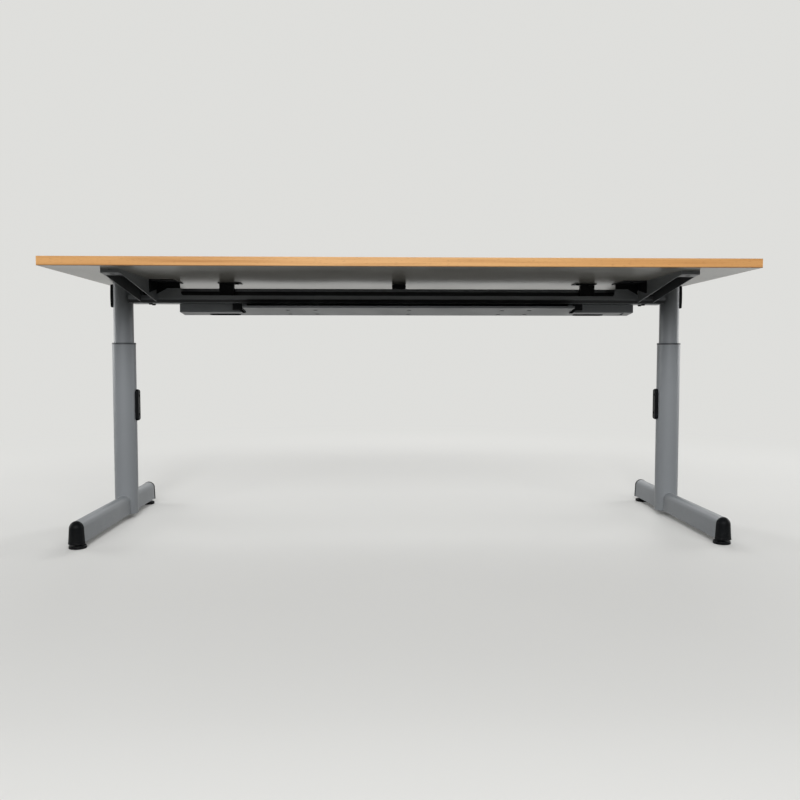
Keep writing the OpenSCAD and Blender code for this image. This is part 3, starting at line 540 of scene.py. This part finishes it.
def paint_node(node, slot=None):
    """Gives a CAD node that stays in view its finish."""
    data = frame["nodes"][node].data
    data.materials.clear()
    data.materials.append(finish_of(slot or NODE_SLOT[node]))


def finish_piece(mesh_data, name, node, slot=None, replaces=True):
    """Turns a bmesh into a piece that rides with its node and takes its slot's finish."""
    mesh = bpy.data.meshes.new(name)
    mesh_data.to_mesh(mesh)
    mesh_data.free()
    piece = bpy.data.objects.new(name, mesh)
    bpy.context.scene.collection.objects.link(piece)
    for face in mesh.polygons:
        face.use_smooth = True
    mesh.set_sharp_from_angle(angle=SHARP)
    modifier = piece.modifiers.new("even_normals", "WEIGHTED_NORMAL")
    modifier.keep_sharp = True
    mesh.materials.append(finish_of(slot or NODE_SLOT[node]))
    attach(piece, NODE_BODY[node])
    if replaces:
        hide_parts(node)
    return piece


def node_mesh(node):
    """A merged copy of a node's mesh, its flat faces in one piece."""
    made = bmesh.new()
    made.from_mesh(frame["nodes"][node].data)
    bmesh.ops.remove_doubles(made, verts=made.verts, dist=MERGE)
    bmesh.ops.dissolve_limit(made, angle_limit=FLAT, use_dissolve_boundaries=False,
                             verts=made.verts, edges=made.edges)
    return made


def hoop(name, node, corners, centre):
    """Adds a ring turned about an upright axis from the corners of its section."""
    made = bmesh.new()
    verts = [made.verts.new((centre.x + radius, centre.y, height))
             for radius, height in corners]
    edges = [made.edges.new((verts[i - 1], verts[i])) for i in range(len(verts))]
    bmesh.ops.spin(made, geom=verts + edges, cent=(centre.x, centre.y, 0), axis=(0, 0, 1),
                   angle=math.tau, steps=RING_STEPS, use_merge=True)
    bmesh.ops.remove_doubles(made, verts=made.verts, dist=MERGE)
    bmesh.ops.recalc_face_normals(made, faces=made.faces)
    finish_piece(made, name, node, replaces=False)


def bead(name, node, points, radius):
    """Adds a thin painted weld along points, half sunk in the sheets that it joins."""
    curve = bpy.data.curves.new(name, "CURVE")
    curve.dimensions = "3D"
    curve.bevel_depth = radius
    curve.bevel_resolution = 2
    curve.use_fill_caps = True
    line = curve.splines.new("POLY")
    line.points.add(len(points) - 1)
    for point, place in zip(line.points, points):
        point.co = (*place, 1)
    holder = bpy.data.objects.new(name, curve)
    made = bmesh.new()
    made.from_mesh(holder.to_mesh())
    holder.to_mesh_clear()
    bpy.data.objects.remove(holder)
    bpy.data.curves.remove(curve)
    bmesh.ops.remove_doubles(made, verts=made.verts, dist=MERGE)
    bmesh.ops.recalc_face_normals(made, faces=made.faces)
    finish_piece(made, name, node, replaces=False)


def rounded(made, edges, width, segments):
    """Bevels the edges with a round profile."""
    bmesh.ops.bevel(made, geom=edges, offset=width, offset_type="OFFSET", segments=segments,
                    profile=0.5, affect="EDGES", clamp_overlap=True, material=-1)


def soften(made, width):
    """Bevels every sharp edge in two steps."""
    sharp = [e for e in made.edges if len(e.link_faces) == 2 and e.calc_face_angle(0) > SHARP]
    rounded(made, sharp, width, 2)


def softened(node, width, slot=None):
    """Adds a piece that stands for a node, of the same shape with soft edges."""
    made = node_mesh(node)
    soften(made, width)
    finish_piece(made, node + "_soft", node, slot)


# Operators

class DESK_OT_worktop(bpy.types.Operator):
    """Finishes the board, its laminates and its edge bands"""
    bl_idname = "desk.worktop"
    bl_label = "Worktop"

    def execute(self, context):
        for node in ("top_laminate", "board_core", "backing_laminate", "edge_band_front",
                     "edge_band_rear"):
            paint_node(node)
        for side in SIDES:
            paint_node("edge_band_" + side, "edge_band_side")
        return {"FINISHED"}


class DESK_OT_beam(bpy.types.Operator):
    """Builds the crossbeam with its brackets, spacer and saddles"""
    bl_idname = "desk.beam"
    bl_label = "Crossbeam"

    def execute(self, context):
        edges = context.scene.desk_edges
        softened("crossbeam", edges.sheet, slot="silver_beam")
        softened("centre_spacer", edges.moulded)
        for side in SIDES:
            softened("beam_bracket_" + side, edges.sheet)
            softened("saddle_" + side, edges.sheet)
        return {"FINISHED"}


class DESK_OT_arms(bpy.types.Operator):
    """Builds the arms under the worktop with their posts, bolts and screws"""
    bl_idname = "desk.arms"
    bl_label = "Arms"

    def execute(self, context):
        edges = context.scene.desk_edges
        for side in SIDES:
            softened("arm_" + side, edges.sheet, slot="silver_arm")
        for node in ("arm_posts", "arm_bolts", "board_screws"):
            softened(node, edges.small)
        return {"FINISHED"}


class DESK_OT_columns(bpy.types.Operator):
    """Builds the telescopic tubes with their bushes, plugs and covers"""
    bl_idname = "desk.columns"
    bl_label = "Columns"

    def execute(self, context):
        edges = context.scene.desk_edges
        for side in SIDES:
            softened("outer_tube_" + side, edges.small)
            softened("inner_tube_" + side, edges.small)
            softened("upper_bush_" + side, edges.small)
            low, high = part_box("upper_bush_" + side)
            tube_low, tube_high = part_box("outer_tube_" + side)
            sunk = 0.2 * MM
            outside = (high.x - low.x) / 2
            inside = (tube_high.x - tube_low.x) / 2 - sunk
            top, under = tube_high.z, tube_high.z - edges.skirt
            # Painted shade, in part: the dark skirt widens the collar's band over the shadow
            # gap under it
            hoop("collar_skirt_" + side, "upper_bush_" + side,
                 [(inside, top), (outside, top), (outside, under), (inside, under)],
                 middle("upper_bush_" + side))
            softened("tube_cover_" + side, edges.moulded)
            paint_node("lower_bush_" + side)
        paint_node("tube_plugs")
        softened("saddle_bolts", edges.small)
        return {"FINISHED"}


class DESK_OT_clamps(bpy.types.Operator):
    """Builds the height clamps on the lower tubes"""
    bl_idname = "desk.clamps"
    bl_label = "Clamps"

    def execute(self, context):
        edges = context.scene.desk_edges
        for side in SIDES:
            softened("clamp_cover_" + side, edges.moulded)
            softened("clamp_pad_" + side, edges.small)
            softened("clamp_screws_" + side, edges.small)
            paint_node("clamp_shoe_" + side)
        return {"FINISHED"}


def foot_seam(side, way):
    """Points along the seam between a foot and the lower tube. The seam follows the foot's
    outline over its arch, on the front of the tube (way -1) or on its rear (way 1)."""
    centre = middle("outer_tube_" + side)
    tube_low, tube_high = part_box("outer_tube_" + side)
    foot_low, foot_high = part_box("foot_" + side)
    reach = (tube_high.y - tube_low.y) / 2
    half = (foot_high.x - foot_low.x) / 2
    arch, bare, steps = FOOT_ARCH, 1.5 * MM, 16
    low, spring = foot_low.z + bare, foot_high.z - arch
    outline = [(half, low), ((half + arch) / 2, (low + spring) / 2)]
    for step in range(steps + 1):
        turn = math.pi * step / steps
        outline.append((arch * math.cos(turn), spring + arch * math.sin(turn)))
    outline += [(-(half + arch) / 2, (low + spring) / 2), (-half, low)]
    return [(centre.x + across, centre.y + way * math.sqrt(reach ** 2 - across ** 2), height)
            for across, height in outline]


class DESK_OT_feet(bpy.types.Operator):
    """Builds the feet with their end caps"""
    bl_idname = "desk.feet"
    bl_label = "Feet"

    def execute(self, context):
        edges = context.scene.desk_edges
        for side in SIDES:
            softened("foot_" + side, edges.sheet)
            for end, way in zip(ENDS, (-1, 1)):
                bead(f"foot_weld_{end}_{side}", "foot_" + side, foot_seam(side, way),
                     edges.weld)
            softened("front_cap_" + side, edges.moulded)
            softened("rear_cap_" + side, edges.moulded)
            paint_node("glide_nuts_" + side)
        return {"FINISHED"}


class DESK_OT_glides(bpy.types.Operator):
    """Builds the levelling glides"""
    bl_idname = "desk.glides"
    bl_label = "Glides"

    def execute(self, context):
        edges = context.scene.desk_edges
        for end in ENDS:
            for side in SIDES:
                softened(f"glide_disc_{end}_{side}", edges.small)
                softened(f"glide_stem_{end}_{side}", edges.small)
        return {"FINISHED"}


def slot_shade_plate(side):
    """Adds a thin black plate with round ends under the tray's floor, below a hanger: a dark
    sheet that stands for the shade in the floor's slot there, as painted shadow.
    """
    low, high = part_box("cable_tray")
    pin_low, pin_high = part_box("tray_hinge_pins")
    length, depth, thick = 94 * MM, 25 * MM, 1.0 * MM
    corner, arris, seat = 0.45 * depth, 0.25 * MM, 0.45 * thick
    rear_gap, inward = 3.5 * MM, 17.5 * MM
    middle_x = (low.x + high.x) / 2
    way = -1 if side == "left" else 1
    made = bmesh.new()
    bmesh.ops.create_cube(made, size=1)
    bmesh.ops.scale(made, vec=(length, depth, thick), verts=made.verts)
    upright = [e for e in made.edges if abs(e.verts[0].co.z - e.verts[1].co.z) > thick / 2]
    rounded(made, upright, corner, 8)
    soften(made, arris)
    bmesh.ops.rotate(made, cent=(0, 0, 0), matrix=Matrix.Rotation(-TRAY_FALL, 3, "X"),
                     verts=made.verts)
    place_y = high.y - rear_gap - depth / 2
    place_z = low.z + (high.y - place_y) * math.tan(TRAY_FALL) - seat
    place_x = middle_x + way * ((pin_high.x - pin_low.x) / 2 - inward)
    bmesh.ops.translate(made, verts=made.verts, vec=(place_x, place_y, place_z))
    piece = finish_piece(made, "tray_plate_" + side, "cable_tray", "slot_shade_black",
                         replaces=False)


class DESK_OT_tray(bpy.types.Operator):
    """Builds the cable tray with its hangers, hinge pins and catches, and black plates that
    stand for the shade in its slots
    """
    bl_idname = "desk.tray"
    bl_label = "Cable tray"

    def execute(self, context):
        edges = context.scene.desk_edges
        softened("cable_tray", edges.sheet, slot="silver_tray")
        for side in SIDES:
            softened("tray_hanger_" + side, edges.moulded)
            softened("tray_catch_" + side, edges.moulded)
            slot_shade_plate(side)
        softened("tray_hinge_pins", edges.small)
        return {"FINISHED"}


def link_shaders(tree, share, first, second):
    """Mixes two shaders and returns the output."""
    mix = tree.nodes.new("ShaderNodeMixShader")
    tree.links.new(share, mix.inputs["Fac"])
    tree.links.new(first, mix.inputs[1])
    tree.links.new(second, mix.inputs[2])
    return mix.outputs["Shader"]


def seen_rays(tree):
    """1 for camera, glossy and transmission rays, which see the plain background."""
    path = tree.nodes.new("ShaderNodeLightPath")
    total = path.outputs["Is Camera Ray"]
    for name in ("Is Glossy Ray", "Is Transmission Ray"):
        add = tree.nodes.new("ShaderNodeMath")
        add.operation = "MAXIMUM"
        tree.links.new(total, add.inputs[0])
        tree.links.new(path.outputs[name], add.inputs[1])
        total = add.outputs["Value"]
    return total


def make_sky(strength, backdrop):
    """A pale background, and a softer even light on the object."""
    world = bpy.data.worlds.new("studio")
    bpy.context.scene.world = world
    world.use_nodes = True
    tree = world.node_tree
    light = tree.nodes["Background"]
    light.inputs["Color"].default_value = (1, 1, 1, 1)
    light.inputs["Strength"].default_value = strength
    pale = tree.nodes.new("ShaderNodeBackground")
    pale.inputs["Color"].default_value = (*backdrop, 1)
    pale.inputs["Strength"].default_value = 1
    both = link_shaders(tree, seen_rays(tree), light.outputs["Background"],
                        pale.outputs["Background"])
    tree.links.new(both, tree.nodes["World Output"].inputs["Surface"])


def make_lamp(name, place, aim, width, height, power):
    """A rectangular lamp that faces its aim."""
    light = bpy.data.lights.new(name, "AREA")
    light.shape = "RECTANGLE"
    light.size, light.size_y, light.energy = width, height, power
    lamp = bpy.data.objects.new(name, light)
    lamp.location = place
    lamp.rotation_euler = (Vector(aim) - Vector(place)).to_track_quat("-Z", "Y").to_euler()
    bpy.context.scene.collection.objects.link(lamp)


def make_floor(stage):
    """A large pale floor, a hair under the glides, that takes the desk's shadow, turns
    into the background far out and throws little light back up."""
    reach, below = 30, 0.05 * MM
    made = bmesh.new()
    bmesh.ops.create_grid(made, x_segments=1, y_segments=1, size=reach)
    bmesh.ops.translate(made, verts=made.verts, vec=(0, 0, -below))
    mesh = bpy.data.meshes.new("floor")
    made.to_mesh(mesh)
    made.free()
    floor = bpy.data.objects.new("floor", mesh)
    bpy.context.scene.collection.objects.link(floor)
    paint = Finish("plain_floor", stage.floor_colour, 0.8, specular=0.1)
    pale = tuple(stage.floor_colour)
    cloud = paint.noise(1.2, 3)
    paint.colour(paint.mixed(paint.ramp(cloud, 0.3, 0.7), shade(pale, 0.985), pale))
    distance = paint.node("ShaderNodeVectorMath", operation="LENGTH")
    paint.feed(distance.inputs[0], paint.place)
    fade = paint.node("ShaderNodeMapRange", interpolation_type="SMOOTHSTEP")
    paint.feed(fade.inputs["Value"], distance.outputs["Value"])
    fade.inputs["From Min"].default_value = stage.floor_near
    fade.inputs["From Max"].default_value = stage.floor_far
    backdrop = paint.node("ShaderNodeEmission")
    backdrop.inputs["Color"].default_value = (*stage.backdrop, 1)
    bounce = paint.node("ShaderNodeBsdfDiffuse")
    bounce.inputs["Color"].default_value = (*stage.floor_bounce, 1)
    tree = paint.tree
    seen = link_shaders(tree, fade.outputs["Result"], paint.shader.outputs["BSDF"],
                        backdrop.outputs["Emission"])
    both = link_shaders(tree, seen_rays(tree), bounce.outputs["BSDF"], seen)
    tree.links.new(both, tree.nodes["Material Output"].inputs["Surface"])
    mesh.materials.append(paint.material)
    # The floor goes with a glide, so the desk stands on it at every height
    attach(floor, "glide_front_left")


def make_camera(stage):
    """The camera of the photograph."""
    turn, tilt = stage.camera_turn, stage.camera_tilt
    ahead = Vector((math.sin(turn) * math.cos(tilt), math.cos(turn) * math.cos(tilt),
                    -math.sin(tilt)))
    data = bpy.data.cameras.new("photo_view")
    data.lens = stage.lens
    data.sensor_width = SENSOR_MM
    camera = bpy.data.objects.new("photo_view", data)
    camera.location = stage.camera_place
    camera.rotation_euler = ahead.to_track_quat("-Z", "Y").to_euler()
    bpy.context.scene.collection.objects.link(camera)
    bpy.context.scene.camera = camera


# Name, place, aim, width, height and the setting that holds the power
LAMPS = (
    ("key_lamp", (0, -4.8, 2.9), (0, 0, 0.35), 7.5, 2.2, "key_power"),
    ("strip_lamp", (-0.4, -4.8, 2.3), (0, 0, 0.35), 0.9, 1.8, "strip_power"),
    ("rear_lamp", (0.3, 3.6, 3.0), (0, 0, 0.4), 4.0, 1.5, "rear_power"),
    ("side_lamp_0", (-4.0, 1.2, 1.1), (0, 0.1, 0.5), 2.4, 1.6, "side_power"),
    ("side_lamp_2", (4.0, 1.2, 1.1), (0, 0.1, 0.5), 2.4, 1.6, "side_power"),
)


class DESK_OT_stage(bpy.types.Operator):
    """Sets the floor, the soft light and the camera"""
    bl_idname = "desk.stage"
    bl_label = "Stage"

    def execute(self, context):
        stage = context.scene.desk_stage
        make_floor(stage)
        make_sky(stage.sky, stage.backdrop)
        for name, place, aim, width, height, power in LAMPS:
            make_lamp(name, place, aim, width, height, getattr(stage, power))
        make_camera(stage)
        context.scene.view_settings.view_transform = "Standard"
        return {"FINISHED"}


class DESK_PT_panel(bpy.types.Panel):
    """Lists the desk's pieces and its settings"""
    bl_label = "Office desk"
    bl_idname = "DESK_PT_panel"
    bl_space_type = "VIEW_3D"
    bl_region_type = "UI"
    bl_category = "Desk"

    def draw(self, context):
        for operator in OPERATORS:
            self.layout.operator(operator.bl_idname)
        for group in ("desk_finish", "desk_edges", "desk_stage"):
            settings = getattr(context.scene, group)
            for key in settings.__annotations__:
                self.layout.prop(settings, key)


OPERATORS = (DESK_OT_worktop, DESK_OT_beam, DESK_OT_arms, DESK_OT_columns, DESK_OT_clamps,
             DESK_OT_feet, DESK_OT_glides, DESK_OT_tray, DESK_OT_stage)
GROUPS = {"desk_finish": DeskFinish, "desk_edges": DeskEdges, "desk_stage": DeskStage}


def register():
    for group in GROUPS.values():
        bpy.utils.register_class(group)
    for name, group in GROUPS.items():
        setattr(bpy.types.Scene, name, bpy.props.PointerProperty(type=group))
    for item in (*OPERATORS, DESK_PT_panel):
        bpy.utils.register_class(item)


def unregister():
    for item in reversed((*OPERATORS, DESK_PT_panel)):
        bpy.utils.unregister_class(item)
    for name, group in GROUPS.items():
        delattr(bpy.types.Scene, name)
        bpy.utils.unregister_class(group)


def main():
    register()
    for operator in OPERATORS:
        getattr(bpy.ops.desk, operator.bl_idname.split(".")[1])()
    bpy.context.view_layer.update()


if __name__ == "__main__":
    main()
